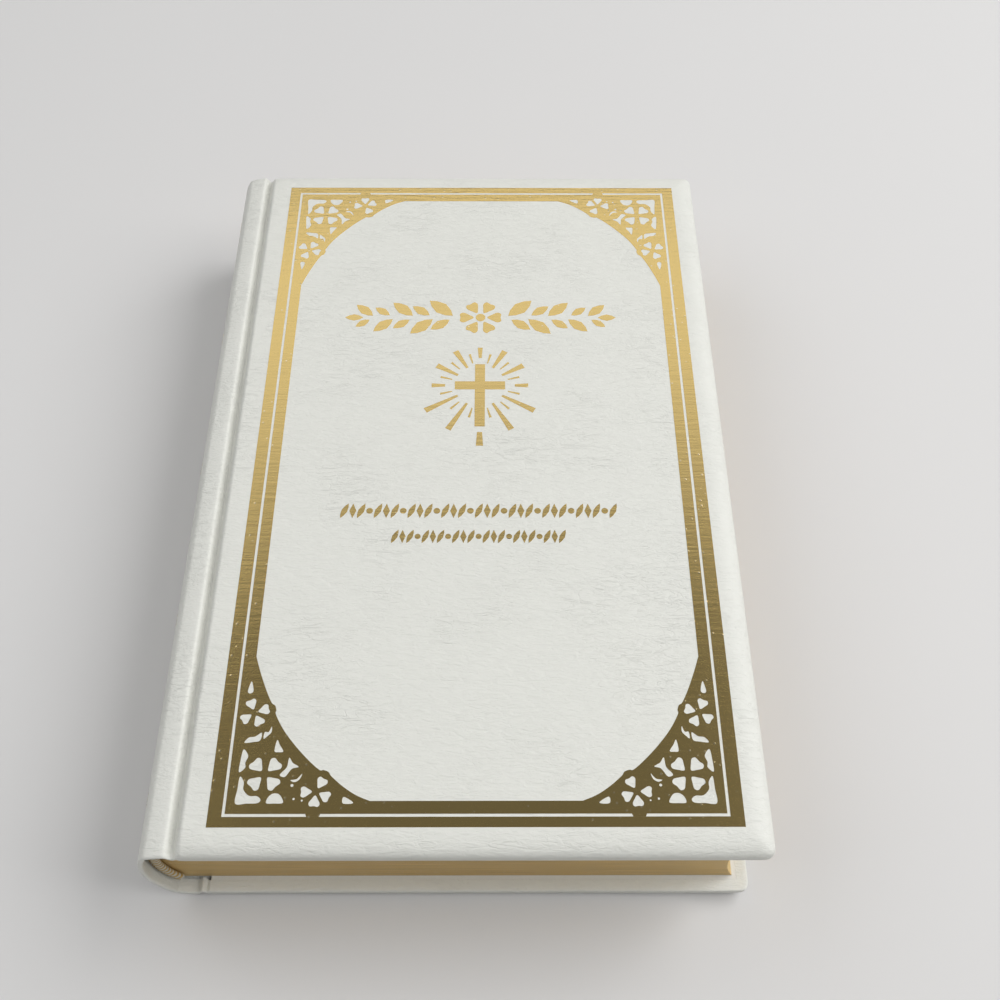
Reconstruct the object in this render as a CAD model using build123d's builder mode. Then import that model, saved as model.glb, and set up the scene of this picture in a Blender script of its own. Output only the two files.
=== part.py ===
"""A case-bound bible with padded covers, closed and lying on its back cover.

X runs from the spine to the fore-edge, Y from the tail to the head, Z up.
The origin is the middle of the footprint on the surface that it lies on.
"""
from build123d import *
from math import asin, cos, degrees, radians, sin, sqrt
import os

# ---- driving dimensions, millimetres and degrees ----
cover_height = 228.0  # head to tail
cover_width = 141.0  # joint edge to fore-edge, skin included
skin_thickness = 0.5
pad_thickness = 1.5
board_thickness = 2.5
pastedown_thickness = 0.2
flyleaf_thickness = 0.25
section_count = 24
section_thickness = 1.3
end_square = 4.0  # pages set back from the head and the tail of the covers
fore_square = 4.0  # the same from their fore-edge
turn_in_margin = 3.0  # skin left bare around the pastedown
cover_corner = 2.5  # radius of the covers' corners in plan
edge_roll = 1.7  # radius of the padded cover's outer edges

board_set_back = 3.5  # cover's joint edge from the joint axis
axis_below_board = 0.05  # joint axis from the pastedown, into the book
shoulder_reach = 4.0  # block's shoulders behind the joint axis
backing_rise = 3.5  # rounding of the block's back
gutter_length = 13.0  # leaves that curve when the book opens

thread_thickness = 0.25
mull_thickness = 0.25
lining_thickness = 0.2
hollow_gap = 0.3
strip_thickness = 0.8
spine_half_angle = 21.0
back_half_angle = 20.5
fold_rounding = 0.4  # share of a section's thickness, at its folded back
mull_margin = 12.0  # pages past the mull, at the head and the tail
thread_stations = 8
thread_margin = 26.0  # outermost stations from the ends of the pages
thread_width = 1.2
band_height = 2.4  # headband, down over the ends of the pages
band_overlap = 1.6  # headband, standing past the pages

groove_depth = 2.2
groove_width = 3.2
ridge_depth = 0.8
ridge_set_back = 6.2  # ridge from the cover's joint edge

foil_thickness = 0.05
frame_end_margin = 6.65
frame_fore_margin = 7.0
frame_joint_margin = 6.0
side_rule = 3.35
end_rule = 2.5
hairline = 0.7
side_band = 7.1  # outer rule, hairline and inner band, along the sides
end_band = 5.9  # the same along the head and the tail
corner_x = 31.5
corner_y = 37.7
corner_share = 0.68  # arc's middle, as a share of the corner's legs

cross_height = 23.0
cross_width = 15.0
cross_bar = 3.0
cross_arm_rise = 3.5
emblem_above_middle = 20.4
ray_count = 16
ray_inner = 13.0
ray_outer = 18.5
ray_width = 1.6
title_above_middle = 50.3
title_length = 84.0
title_rule = 1.6
title_lozenge = 8.0
subtitle_below_middle = 19.8
subtitle_length = 77.0
second_length = 48.0
subtitle_rule = 1.1
subtitle_lozenge = 3.6
subtitle_spacing = 8.2
spine_band_rule = 0.4
spine_band_gap = 2.9
spine_band_half_angle = 17.0
spine_band_count = 5
spine_band_margin = 16.0  # outermost bands from the ends of the spine

# ---- levels and stations worked out from them ----
cover_stack = skin_thickness + pad_thickness + board_thickness + pastedown_thickness
block_thickness = section_count * section_thickness
thickness = 2 * (cover_stack + flyleaf_thickness) + block_thickness
middle = thickness / 2
block_bottom = cover_stack + flyleaf_thickness
axis_depth = cover_stack - pastedown_thickness - axis_below_board
shoulder_half = middle - axis_depth

back_radius = (shoulder_half**2 + backing_rise**2) / (2 * backing_rise)
mull_radius = back_radius + thread_thickness
lining_radius = mull_radius + mull_thickness
hollow_radius = lining_radius + lining_thickness
strip_radius = hollow_radius + hollow_gap
skin_radius = strip_radius + strip_thickness
spine_radius = skin_radius + skin_thickness
spine_reach = shoulder_reach + backing_rise + spine_radius - back_radius

total_width = foil_thickness + spine_reach + board_set_back + cover_width
joint_x = foil_thickness + spine_reach - total_width / 2
arc_x = joint_x - shoulder_reach - backing_rise + back_radius
board_left = joint_x + board_set_back
fore_edge = total_width / 2
page_fore = fore_edge - fore_square
page_width = page_fore - joint_x + shoulder_reach
page_height = cover_height - 2 * end_square
mull_length = page_height - 2 * mull_margin
leaf_left = joint_x + gutter_length
frame_width = cover_width - frame_fore_margin - frame_joint_margin
frame_height = cover_height - 2 * frame_end_margin
frame_x = fore_edge - frame_fore_margin - frame_width / 2

os.makedirs("parts", exist_ok=True)


def save(piece, label):
    """Label a finished piece and write it as its own file."""
    piece.part.label = label
    export_step(piece.part, f"parts/{label}.step")


def save_group(pieces, label):
    """Write separate solids that lie face to face as one node."""
    solids = [solid for piece in pieces for solid in piece.part.solids()]
    export_step(Compound(label=label, children=solids), f"parts/{label}.step")


def sheet(left, right, length, level, amount, way=1):
    """Flat sheet between two stations on X, from a level up, or down with way -1."""
    with BuildPart() as piece:
        with BuildSketch(Plane.XY.offset(level)):
            with Locations(((left + right) / 2, 0)):
                Rectangle(right - left, length)
        extrude(amount=way * amount)
    return piece


def back_reach(level):
    """Station on X of the block's rounded back at one level."""
    return arc_x - sqrt(back_radius**2 - (level - middle) ** 2)


def fold_end(bottom, top):
    """Back end of a sheet or section, where its outer corner meets the arc."""
    return max(back_reach(bottom), back_reach(top))


def cover_core(outer, inward, inset, start, stop, roll):
    """Board-shaped layer of one cover, its outer face rolled when asked."""
    with BuildPart() as layer:
        with BuildSketch(Plane.XY.offset(outer + inward * start)):
            with Locations(((board_left + fore_edge - inset) / 2, 0)):
                Rectangle(fore_edge - inset - board_left, cover_height - 2 * inset)
        extrude(amount=inward * (stop - start))
        corners = layer.edges().filter_by(Axis.Z).group_by(Axis.X)[-1]
        fillet(corners, cover_corner - inset)
        if roll:
            faces = layer.faces().filter_by(Plane.XY).sort_by(Axis.Z)
            face = faces[0] if inward > 0 else faces[-1]
            fillet(face.edges().sort_by(Axis.X)[1:], edge_roll - start)
    return layer


def cover_skin(outer, inward):
    """Skin over one cover: outer face, three edges and the turned-in margin."""
    core = cover_core(outer, inward, skin_thickness, skin_thickness,
                      cover_stack - pastedown_thickness, True)
    window = sheet(board_left, fore_edge - turn_in_margin,
                   cover_height - 2 * turn_in_margin,
                   outer + inward * (cover_stack - pastedown_thickness),
                   pastedown_thickness, inward)
    skin = cover_core(outer, inward, 0, 0, cover_stack, True)
    with skin:
        add(core.part, mode=Mode.SUBTRACT)
        add(window.part, mode=Mode.SUBTRACT)
    return skin


def joint_skin(outer, inward):
    """Skin of one French groove, from the cover to the spine's edge."""
    angle = radians(spine_half_angle)

    def on_arc(radius):
        return (arc_x - radius * cos(angle), middle - inward * radius * sin(angle))

    def across(x, depth):
        return (x, outer + inward * depth)

    groove_x = board_left - groove_width / 2
    ridge_x = board_left - ridge_set_back
    spine_way = (-sin(angle), inward * cos(angle))
    ways = ((-1, 0), (-1, 0), (-1, 0), spine_way)
    with BuildPart() as skin:
        with BuildSketch(Plane.XZ):
            with BuildLine():
                upper = Spline(across(board_left, 0), across(groove_x, groove_depth),
                               across(ridge_x, ridge_depth), on_arc(spine_radius),
                               tangents=ways)
                lower = Spline(across(board_left, skin_thickness),
                               across(groove_x, groove_depth + skin_thickness),
                               across(ridge_x, ridge_depth + skin_thickness),
                               on_arc(skin_radius), tangents=ways)
                Line(upper @ 0, lower @ 0)
                Line(upper @ 1, lower @ 1)
            make_face()
        extrude(amount=cover_height / 2, both=True)
    return skin


def spine_shell(inner, outer, half_angle, length, places=(0,)):
    """Curved layers concentric with the block's back, one for each place on Y."""
    with BuildPart() as shell:
        for place in places:
            with BuildSketch(Plane.XZ.offset(-place)):
                with BuildLine():
                    near = CenterArc((arc_x, middle), inner, 180 - half_angle, 2 * half_angle)
                    far = CenterArc((arc_x, middle), outer, 180 - half_angle, 2 * half_angle)
                    Line(near @ 0, far @ 0)
                    Line(near @ 1, far @ 1)
                make_face()
            extrude(amount=length / 2, both=True)
    return shell


# ---- covers: the back one from z = 0 up, the front one from the top down ----
sides = (("back", 0, 1), ("front", thickness, -1))
for side, outer, inward in sides:
    pad_start = skin_thickness
    board_start = pad_start + pad_thickness
    paste_start = board_start + board_thickness
    pad = cover_core(outer, inward, skin_thickness, pad_start, board_start, True)
    save(pad, f"{side}_pad")
    board = cover_core(outer, inward, skin_thickness, board_start, paste_start, False)
    save(board, f"{side}_board")
    save(cover_skin(outer, inward), f"{side}_cover_skin")
    save(joint_skin(outer, inward), f"{side}_joint_skin")

    paste_level = outer + inward * paste_start
    pastedown = sheet(board_left, fore_edge - turn_in_margin,
                      cover_height - 2 * turn_in_margin,
                      paste_level, pastedown_thickness, inward)
    save(pastedown, f"{side}_pastedown")
    hinge = sheet(joint_x - shoulder_reach + pastedown_thickness, board_left, page_height,
                  paste_level, pastedown_thickness, inward)
    save(hinge, f"{side}_endpaper_hinge")
    flyleaf = sheet(leaf_left, page_fore, page_height,
                    outer + inward * cover_stack, flyleaf_thickness, inward)
    save(flyleaf, f"{side}_flyleaf")

# ---- page block: each section's leaves, then their curved and sewn ends ----
levels = [(cover_stack, block_bottom)]
for index in range(section_count):
    bottom = block_bottom + index * section_thickness
    levels.append((bottom, bottom + section_thickness))
    right = fold_end(*levels[-1]) + page_width
    section = sheet(leaf_left, right, page_height, bottom, section_thickness)
    save(section, f"section_{index + 1:02d}")
levels.append((thickness - block_bottom, thickness - cover_stack))

folds = []
gutters = []
for bottom, top in levels:
    with BuildPart() as fold:
        with BuildSketch(Plane.XY.offset(bottom)):
            with Locations(((fold_end(bottom, top) + joint_x) / 2, 0)):
                Rectangle(joint_x - fold_end(bottom, top), page_height)
        extrude(amount=top - bottom)
        back = fold.edges().filter_by(Axis.Y).group_by(Axis.X)[0]
        fillet(back, fold_rounding * (top - bottom))
    folds.append(fold)
    gutters.append(sheet(joint_x, leaf_left, page_height, bottom, top - bottom))
save_group(folds, "section_folds")
save_group(gutters, "section_gutters")

# ---- spine: sewing, mull and lining on the block, then the hollow, strip and skin ----
thread_span = page_height - 2 * thread_margin
thread_pitch = thread_span / (thread_stations - 1)
thread_places = [index * thread_pitch - thread_span / 2 for index in range(thread_stations)]
save(spine_shell(back_radius, mull_radius, back_half_angle, thread_width, thread_places),
     "sewing_thread")
save(spine_shell(mull_radius, lining_radius, back_half_angle, mull_length), "spine_mull")
save(spine_shell(lining_radius, hollow_radius, back_half_angle, page_height), "spine_lining")
save(spine_shell(strip_radius, skin_radius, spine_half_angle, cover_height), "spine_strip")
save(spine_shell(skin_radius, spine_radius, spine_half_angle, cover_height), "spine_skin")

for end, name in ((1, "head_band"), (-1, "tail_band")):
    tape = spine_shell(mull_radius, lining_radius, back_half_angle, mull_margin,
                       (end * (mull_length + mull_margin) / 2,))
    bead = spine_shell(back_radius - band_height, lining_radius, back_half_angle,
                       band_overlap, (end * (page_height + band_overlap) / 2,))
    with tape:
        add(bead.part)
    save(tape, name)

# ---- gold foil, stamped on the front cover and the spine ----
cover_face = Plane(origin=(frame_x, 0, thickness))
with BuildPart() as border_foil:
    with BuildSketch(cover_face):
        Rectangle(frame_width, frame_height)
        Rectangle(frame_width - 2 * side_rule, frame_height - 2 * end_rule,
                  mode=Mode.SUBTRACT)
    extrude(amount=foil_thickness)
save(border_foil, "cover_border_foil")

panel_x = frame_width / 2 - side_band
panel_y = frame_height / 2 - end_band
with BuildPart() as corner_foil:
    with BuildSketch(cover_face):
        Rectangle(frame_width - 2 * (side_rule + hairline),
                  frame_height - 2 * (end_rule + hairline))
        with BuildLine():
            Line((0, panel_y), (panel_x - corner_x, panel_y))
            ThreePointArc((panel_x - corner_x, panel_y),
                          (panel_x - corner_x * (1 - corner_share),
                           panel_y - corner_y * (1 - corner_share)),
                          (panel_x, panel_y - corner_y))
            Line((panel_x, panel_y - corner_y), (panel_x, 0))
            mirror(about=Plane.XZ)
            mirror(about=Plane.YZ)
        make_face(mode=Mode.SUBTRACT)
    extrude(amount=foil_thickness)
save(corner_foil, "cover_corner_foil")

with BuildPart() as emblem_foil:
    with BuildSketch(Plane(origin=(frame_x, emblem_above_middle, thickness))):
        Rectangle(cross_bar, cross_height)
        with Locations((0, cross_arm_rise)):
            Rectangle(cross_width, cross_bar)
        with PolarLocations((ray_inner + ray_outer) / 2, ray_count, 180 / ray_count):
            Rectangle(ray_outer - ray_inner, ray_width)
    extrude(amount=foil_thickness)
save(emblem_foil, "emblem_foil")


def divider(place, rules):
    """Foil rules on one centre line, each (drop, length, width, lozenge)."""
    with BuildPart() as foil:
        with BuildSketch(Plane(origin=(frame_x, place, thickness))):
            for drop, length, width, lozenge in rules:
                with Locations((0, -drop)):
                    Rectangle(length, width)
                    Rectangle(lozenge, lozenge, rotation=45)
        extrude(amount=foil_thickness)
    return foil


title = divider(title_above_middle, [(0, title_length, title_rule, title_lozenge)])
save(title, "title_foil")
subtitle = divider(-subtitle_below_middle, [
    (0, subtitle_length, subtitle_rule, subtitle_lozenge),
    (subtitle_spacing, second_length, subtitle_rule, subtitle_lozenge / 2),
])
save(subtitle, "subtitle_foil")

band_span = cover_height - 2 * spine_band_margin
band_pitch = band_span / (spine_band_count - 1)
band_places = []
for index in range(spine_band_count):
    place = index * band_pitch - band_span / 2
    band_places += [place - spine_band_gap / 2, place + spine_band_gap / 2]
save(spine_shell(spine_radius, spine_radius + foil_thickness, spine_band_half_angle,
                 spine_band_rule, band_places), "spine_foil")
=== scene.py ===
"""A case-bound bible in padded off-white covers with a gold foil frame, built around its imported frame."""
from math import cos, hypot, pi, radians, sin, sqrt

import bmesh
import bpy
from bpy.props import FloatProperty, FloatVectorProperty, PointerProperty
from mathutils import Matrix, Vector
from mathutils.geometry import interpolate_bezier


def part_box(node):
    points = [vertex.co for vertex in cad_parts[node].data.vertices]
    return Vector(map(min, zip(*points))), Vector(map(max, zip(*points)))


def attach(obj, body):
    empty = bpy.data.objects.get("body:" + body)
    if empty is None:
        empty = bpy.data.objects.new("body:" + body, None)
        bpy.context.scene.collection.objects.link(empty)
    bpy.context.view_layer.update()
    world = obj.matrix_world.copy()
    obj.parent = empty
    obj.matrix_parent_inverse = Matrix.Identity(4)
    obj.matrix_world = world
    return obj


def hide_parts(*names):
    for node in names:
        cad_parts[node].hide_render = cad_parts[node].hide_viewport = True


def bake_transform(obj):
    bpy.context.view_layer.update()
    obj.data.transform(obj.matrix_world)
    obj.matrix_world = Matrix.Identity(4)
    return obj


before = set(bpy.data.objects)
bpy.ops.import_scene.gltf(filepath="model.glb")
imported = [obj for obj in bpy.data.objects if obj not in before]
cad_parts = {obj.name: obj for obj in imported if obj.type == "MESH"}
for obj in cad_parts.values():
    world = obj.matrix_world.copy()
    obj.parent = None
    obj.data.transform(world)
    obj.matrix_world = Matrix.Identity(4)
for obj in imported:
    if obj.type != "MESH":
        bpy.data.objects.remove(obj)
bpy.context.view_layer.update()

bl_info = {
    "name": "Padded bible",
    "version": (1, 0, 0),
    "blender": (4, 5, 0),
    "location": "3D View > Sidebar > Bible",
    "description": "Models the casing, pages and foil of a padded bible around its packed frame",
    "category": "Add Mesh",
}

MM = 0.001
STRAND = 0.4 * MM

# ---- stations read from the frame, in metres ----
COVER_LOW, COVER_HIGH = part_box("front_cover_skin")
BOARD_LOW, BOARD_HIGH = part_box("front_board")
PASTE_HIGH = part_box("front_pastedown")[1]
JOINT_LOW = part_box("front_joint_skin")[0]
SPINE_LOW, SPINE_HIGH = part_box("spine_skin")
FOLDS_LOW, FOLDS_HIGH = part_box("section_folds")
GUTTERS_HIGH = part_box("section_gutters")[1]
BORDER_LOW, BORDER_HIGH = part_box("cover_border_foil")
FRET_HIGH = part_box("cover_corner_foil")[1]
MULL_LOW, MULL_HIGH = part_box("spine_mull")
SPINE_FOIL_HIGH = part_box("spine_foil")[1]

THICKNESS = COVER_HIGH.z
MIDDLE = THICKNESS / 2
BOARD_LEFT = COVER_LOW.x
FORE_EDGE = COVER_HIGH.x
HALF_HEIGHT = COVER_HIGH.y
COVER_STACK = THICKNESS - COVER_LOW.z
BOARD_DEPTH = THICKNESS - BOARD_HIGH.z
PASTE_DEPTH = THICKNESS - BOARD_LOW.z
JOINT_X = FOLDS_HIGH.x
LEAF_LEFT = GUTTERS_HIGH.x
PAGE_HALF = GUTTERS_HIGH.y
FRAME_X = (BORDER_LOW.x + BORDER_HIGH.x) / 2
FRAME_HALF_X = (BORDER_HIGH.x - BORDER_LOW.x) / 2
FRAME_HALF_Y = BORDER_HIGH.y
FOIL_TOP = BORDER_HIGH.z
SECTIONS = sorted(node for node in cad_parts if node[-2:].isdigit())

SPINE_HALF_ANGLE = radians(21.0)
SPINE_RADIUS = (SPINE_HIGH.z - SPINE_LOW.z) / 2 / sin(SPINE_HALF_ANGLE)
ARC_X = JOINT_LOW.x + SPINE_RADIUS * cos(SPINE_HALF_ANGLE)
BLOCK_RADIUS = ARC_X - FOLDS_LOW.x
MULL_RADIUS = ARC_X - MULL_LOW.x - 0.23 * MM
SHOULDER = ARC_X - sqrt(BLOCK_RADIUS ** 2 - (COVER_LOW.z - MIDDLE) ** 2)


def smooth(share):
    share = min(1.0, max(0.0, share))
    return share * share * (3 - 2 * share)


def mix(first, second, share):
    return first + (second - first) * share


# ---- sizes and colours a user would change ----
def millimetres(name, description, default):
    return FloatProperty(name=name, description=description, default=default * MM, min=0.0,
                         unit="LENGTH", precision=5)


def colour(name, description, default):
    return FloatVectorProperty(name=name, description=description, default=default, size=4,
                               subtype="COLOR", min=0.0, max=1.0)


class CasingSizes(bpy.types.PropertyGroup):
    skin: millimetres("Skin thickness", "Thickness of the leatherette", 0.45)
    roll_width: millimetres("Roll width", "Width of the softly rolled cover edge", 6.2)
    roll_depth: millimetres("Roll depth", "How far the rolled edge falls", 2.6)
    groove_depth: millimetres("Groove depth", "Depth of the French groove", 3.35)
    ridge_depth: millimetres("Ridge depth", "How far the joint's ridge lies below the cover", 1.6)
    spine_turn_in: millimetres("Spine edge", "Thickness of the spine's turned edge", 1.35)
    corner_power: FloatProperty(name="Corner squareness", description="Higher is squarer",
                                default=6.0, min=2.0, max=20.0)


class PageSizes(bpy.types.PropertyGroup):
    gap: millimetres("Section gap", "Space left on each side of a section", 0.015)
    fold_round: millimetres("Fold rounding", "How far the corners of a section's fold are rounded", 0.22)
    leaf: millimetres("Leaf thickness", "Spacing of the leaf lines on the block's edges", 0.1)


class FinishColours(bpy.types.PropertyGroup):
    leatherette: colour("Leatherette", "Skin of the covers and spine", (0.77, 0.77, 0.715, 1))
    foil: colour("Foil", "Gold foil on the cover and spine", (0.84, 0.62, 0.245, 1))
    gilding: colour("Gilding", "Gilt edges of the leaves", (0.80, 0.56, 0.22, 1))
    paper: colour("Paper", "Leaves of the block", (0.83, 0.81, 0.75, 1))
    endpaper: colour("Endpaper", "Pastedowns, hinges and flyleaves", (0.80, 0.79, 0.74, 1))
    board: colour("Board", "Grey board of the covers", (0.36, 0.33, 0.28, 1))
    floor: colour("Floor", "Floor under the book", (0.72, 0.71, 0.70, 1))


def strength(name, description, default):
    return FloatProperty(name=name, description=description, default=default, min=0.0)


class StageSizes(bpy.types.PropertyGroup):
    lens: FloatProperty(name="Lens", description="Focal length on a 36 mm sensor", default=40.43,
                        min=10.0, subtype="DISTANCE_CAMERA")
    window: strength("Window light", "Brightest strip behind the book, in watts", 4.1)
    key: strength("Key light", "Light from the right, in watts", 22.0)
    fill: strength("Fill light", "Light from the left, in watts", 6.5)
    overhead: strength("Overhead light", "Light from above, in watts", 3.0)
    near: strength("Near light", "Light from the camera's side, in watts", 0.3)
    ambient: strength("Ambient light", "Strength of the world's light", 0.14)


# ---- shader expressions ----
class Value:
    """One socket of a finish, ready for arithmetic."""

    def __init__(self, finish, socket):
        self.finish, self.socket = finish, socket

    def _math(self, operation, *values):
        terms = {place: value for place, value in enumerate(values)}
        return self.finish.add("ShaderNodeMath", {"operation": operation}, terms)

    def __add__(self, other):
        return self._math("ADD", self, other)

    def __radd__(self, other):
        return self._math("ADD", other, self)

    def __sub__(self, other):
        return self._math("SUBTRACT", self, other)

    def __rsub__(self, other):
        return self._math("SUBTRACT", other, self)

    def __mul__(self, other):
        return self._math("MULTIPLY", self, other)

    def __rmul__(self, other):
        return self._math("MULTIPLY", other, self)

    def __abs__(self):
        return self._math("ABSOLUTE", self)

    def fraction(self):
        return self._math("FRACT", self)

    def larger(self, other):
        return self._math("MAXIMUM", self, other)

    def wave(self, length):
        """Sine that repeats after this many metres."""
        return self._math("SINE", self * (2 * pi / length))

    def step(self, low, high):
        """0 below low and 1 above high, smooth between them."""
        return self.finish.add("ShaderNodeMapRange", {"interpolation_type": "SMOOTHSTEP"},
                               {"Value": self, "From Min": low, "From Max": high})


class Finish:
    """One procedural material and the nodes in it."""

    def __init__(self, name, at_rest=False, **constants):
        self.material = bpy.data.materials.new(name)
        self.material.use_nodes = True
        self.tree = self.material.node_tree
        self.shader = self.tree.nodes["Principled BSDF"]
        for socket, constant in constants.items():
            self.shader.inputs[socket.replace("_", " ")].default_value = constant
        if at_rest:
            self.place = self.add("ShaderNodeAttribute", {"attribute_name": "rest_place"}, {},
                                  "Vector")
        else:
            self.place = self.add("ShaderNodeTexCoord", {}, {}, "Object")

    def add(self, kind, settings, values, output=0):
        """New node: its settings first, then its sockets' numbers and links."""
        node = self.tree.nodes.new(kind)
        for name, setting in settings.items():
            setattr(node, name, setting)
        for name, value in values.items():
            if isinstance(value, Value):
                self.tree.links.new(value.socket, node.inputs[name])
            else:
                node.inputs[name].default_value = value
        return Value(self, node.outputs[output])

    def stretched(self, scale):
        return self.add("ShaderNodeMapping", {}, {"Vector": self.place, "Scale": scale})

    def noise(self, scale, detail=2.0, roughness=0.5, distortion=0.0):
        """Noise with this many features to the metre on each axis."""
        return self.add("ShaderNodeTexNoise", {},
                        {"Vector": self.stretched(scale), "Scale": 1.0, "Detail": detail,
                         "Roughness": roughness, "Distortion": distortion})

    def cells(self, count):
        """Distance to the nearest of this many points to the metre."""
        return self.add("ShaderNodeTexVoronoi", {},
                        {"Vector": self.stretched((count, count, count)), "Scale": 1.0}, "Distance")

    def along(self, axis):
        """One coordinate in metres."""
        return self.add("ShaderNodeSeparateXYZ", {}, {0: self.place}, axis)

    def shade(self, factor, first, second):
        return self.add("ShaderNodeMix", {"data_type": "RGBA"},
                        {0: factor, 6: first, 7: second}, 2)

    def bump(self, height, distance, below=None):
        values = {"Height": height, "Distance": distance, "Strength": 1.0}
        if below is not None:
            values["Normal"] = below
        return self.add("ShaderNodeBump", {}, values)

    def use(self, **links):
        for name, value in links.items():
            self.tree.links.new(value.socket, self.shader.inputs[name.replace("_", " ")])
        return self.material


def chosen(name):
    return tuple(getattr(bpy.context.scene.bible_colours, name))


def tinted(shade, factor):
    return tuple(channel * factor for channel in shade[:3]) + (1.0,)


def leatherette():
    """Off-white skin with flattened wrinkles and a few long, faint creases, with painted shade in the fine
    lines and creases.
    """
    shade = chosen("leatherette")
    finish = Finish("leatherette", at_rest=True, Specular_IOR_Level=0.45)
    wrinkle = finish.noise((300, 820, 820), 3.0, 0.55, 0.9)
    pore = finish.noise((2600, 3400, 3000), 1.0)
    fine_line = abs(finish.noise((150, 460, 460), 2.0, 0.5, 1.2) - 0.5)
    fine = (1 - fine_line.step(0.0, 0.045)) * finish.noise((60, 60, 60), 1.0).step(0.3, 0.75)
    crease_line = abs(finish.noise((22, 95, 95), 2.0, 0.45, 0.9) - 0.5)
    crease = (1 - crease_line.step(0.0, 0.012)) * finish.noise((30, 30, 30), 1.0).step(0.54, 0.66)
    normal = finish.bump(wrinkle, 0.00026)
    normal = finish.bump(pore, 0.00003, normal)
    normal = finish.bump(0 - fine - 0.7 * crease, 0.00006, normal)
    tone = finish.shade(wrinkle.step(0.25, 0.75), tinted(shade, 0.975), shade)
    # Painted shade: the fine lines and creases, where the bump sinks, are darkened in the colour.
    tone = finish.shade(fine * 0.07 + crease * 0.10, tone, tinted(shade, 0.86))
    return finish.use(Base_Color=tone, Roughness=0.38 + 0.16 * wrinkle, Normal=normal)


def gold_foil():
    """Stamped foil, mirror-like with a fine crinkle and pinholes from the skin below."""
    shade = chosen("foil")
    finish = Finish("gold_foil", Metallic=1.0)
    ripple = finish.noise((120, 1100, 600), 2.0, 0.5, 0.4)
    grain = finish.noise((2400, 3000, 2600), 1.0)
    speck = finish.cells(420)
    dent = 1 - speck.step(0.06, 0.16)
    normal = finish.bump(ripple, 0.000032)
    normal = finish.bump(grain + 0.8 * dent, 0.000016, normal)
    tone = finish.shade(dent, shade, (0.95, 0.80, 0.52, 1))
    return finish.use(Base_Color=tone, Roughness=0.10 + 0.10 * grain, Normal=normal)


def page_paper():
    """Thin uncoated paper."""
    shade = chosen("paper")
    finish = Finish("page_paper", at_rest=True, Specular_IOR_Level=0.3)
    fibre = finish.noise((900, 900, 900), 3.0, 0.6)
    cloud = finish.noise((45, 45, 45), 2.0)
    tone = finish.shade(cloud, tinted(shade, 0.965), shade)
    return finish.use(Base_Color=tone, Roughness=0.74 + 0.12 * fibre,
                      Normal=finish.bump(fibre, 0.00003))


def page_gilding():
    """Gilt edges, ruled by the leaves and burnished unevenly."""
    shade = chosen("gilding")
    leaf = bpy.context.scene.bible_pages.leaf
    finish = Finish("page_gilding", at_rest=True, Metallic=0.9)
    wander = finish.noise((60, 60, 500), 2.0) * (0.8 * leaf)
    level = (finish.along("Z") + wander) * (1 / leaf)
    line = abs(level.fraction() - 0.5) * 2.0
    uneven = finish.noise((35, 35, 2600), 2.0, 0.6)
    worn = finish.noise((120, 120, 120), 3.0)
    tone = finish.shade(uneven.step(0.3, 0.7), tinted(shade, 0.78), shade)
    return finish.use(Base_Color=tone, Roughness=0.28 + 0.2 * worn,
                      Normal=finish.bump(line + uneven * 1.6, 0.00005))


def endpaper(at_rest):
    """Heavier smooth paper with a faint laid grain."""
    shade = chosen("endpaper")
    finish = Finish("endpaper_sheet" if at_rest else "endpaper_board", at_rest,
                    Specular_IOR_Level=0.35)
    laid = finish.noise((2200, 240, 900), 2.0)
    fibre = finish.noise((1300, 1300, 1300), 3.0, 0.65)
    tone = finish.shade(laid, tinted(shade, 0.96), shade)
    return finish.use(Base_Color=tone, Roughness=0.62 + 0.14 * fibre,
                      Normal=finish.bump(laid + fibre, 0.00003))


def grey_board():
    """Dense bookbinder's board."""
    shade = chosen("board")
    finish = Finish("grey_board", Specular_IOR_Level=0.2)
    fibre = finish.noise((700, 700, 2400), 4.0, 0.7)
    fleck = finish.noise((330, 330, 900), 2.0).step(0.6, 0.7)
    tone = finish.shade(fibre, tinted(shade, 0.8), tinted(shade, 1.15))
    tone = finish.shade(fleck * 0.5, tone, tinted(shade, 0.5))
    return finish.use(Base_Color=tone, Roughness=0.82 + 0.1 * fibre,
                      Normal=finish.bump(fibre, 0.00008))


def foam():
    """Closed-cell foam of the pads, with painted shade in the cell hollows."""
    finish = Finish("pad_foam", at_rest=True, Specular_IOR_Level=0.25)
    cell = finish.cells(1600)
    # Painted shade: darker towards the middle of each cell, where the bump sinks into a hollow.
    tone = finish.shade(cell, (0.72, 0.72, 0.70, 1), (0.86, 0.86, 0.84, 1))
    return finish.use(Base_Color=tone, Roughness=0.7 + 0.2 * cell,
                      Normal=finish.bump(cell, 0.0001))


def woven(name, pitch, light, painted_gap_shade, distance):
    """Cloth with its threads along the spine and round it, with painted shade between the threads."""
    finish = Finish(name, Specular_IOR_Level=0.25)
    height = finish.along("Y").wave(pitch).larger(finish.along("Z").wave(pitch))
    fray = finish.noise((900, 900, 900), 3.0, 0.6)
    # Painted shade: the colour turns to the darker shade in the hollows between the threads, where the bump
    # sinks.
    tone = finish.shade(height * 0.5 + 0.5, painted_gap_shade, light)
    return finish.use(Base_Color=tone, Roughness=0.75 + 0.15 * fray,
                      Normal=finish.bump(height + 0.5 * fray, distance))


def kraft():
    """Brown lining paper."""
    finish = Finish("kraft_paper", Specular_IOR_Level=0.25)
    fibre = finish.noise((600, 1500, 1500), 4.0, 0.65)
    tone = finish.shade(fibre, (0.30, 0.19, 0.10, 1), (0.44, 0.31, 0.19, 1))
    return finish.use(Base_Color=tone, Roughness=0.7 + 0.2 * fibre,
                      Normal=finish.bump(fibre, 0.00005))


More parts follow.
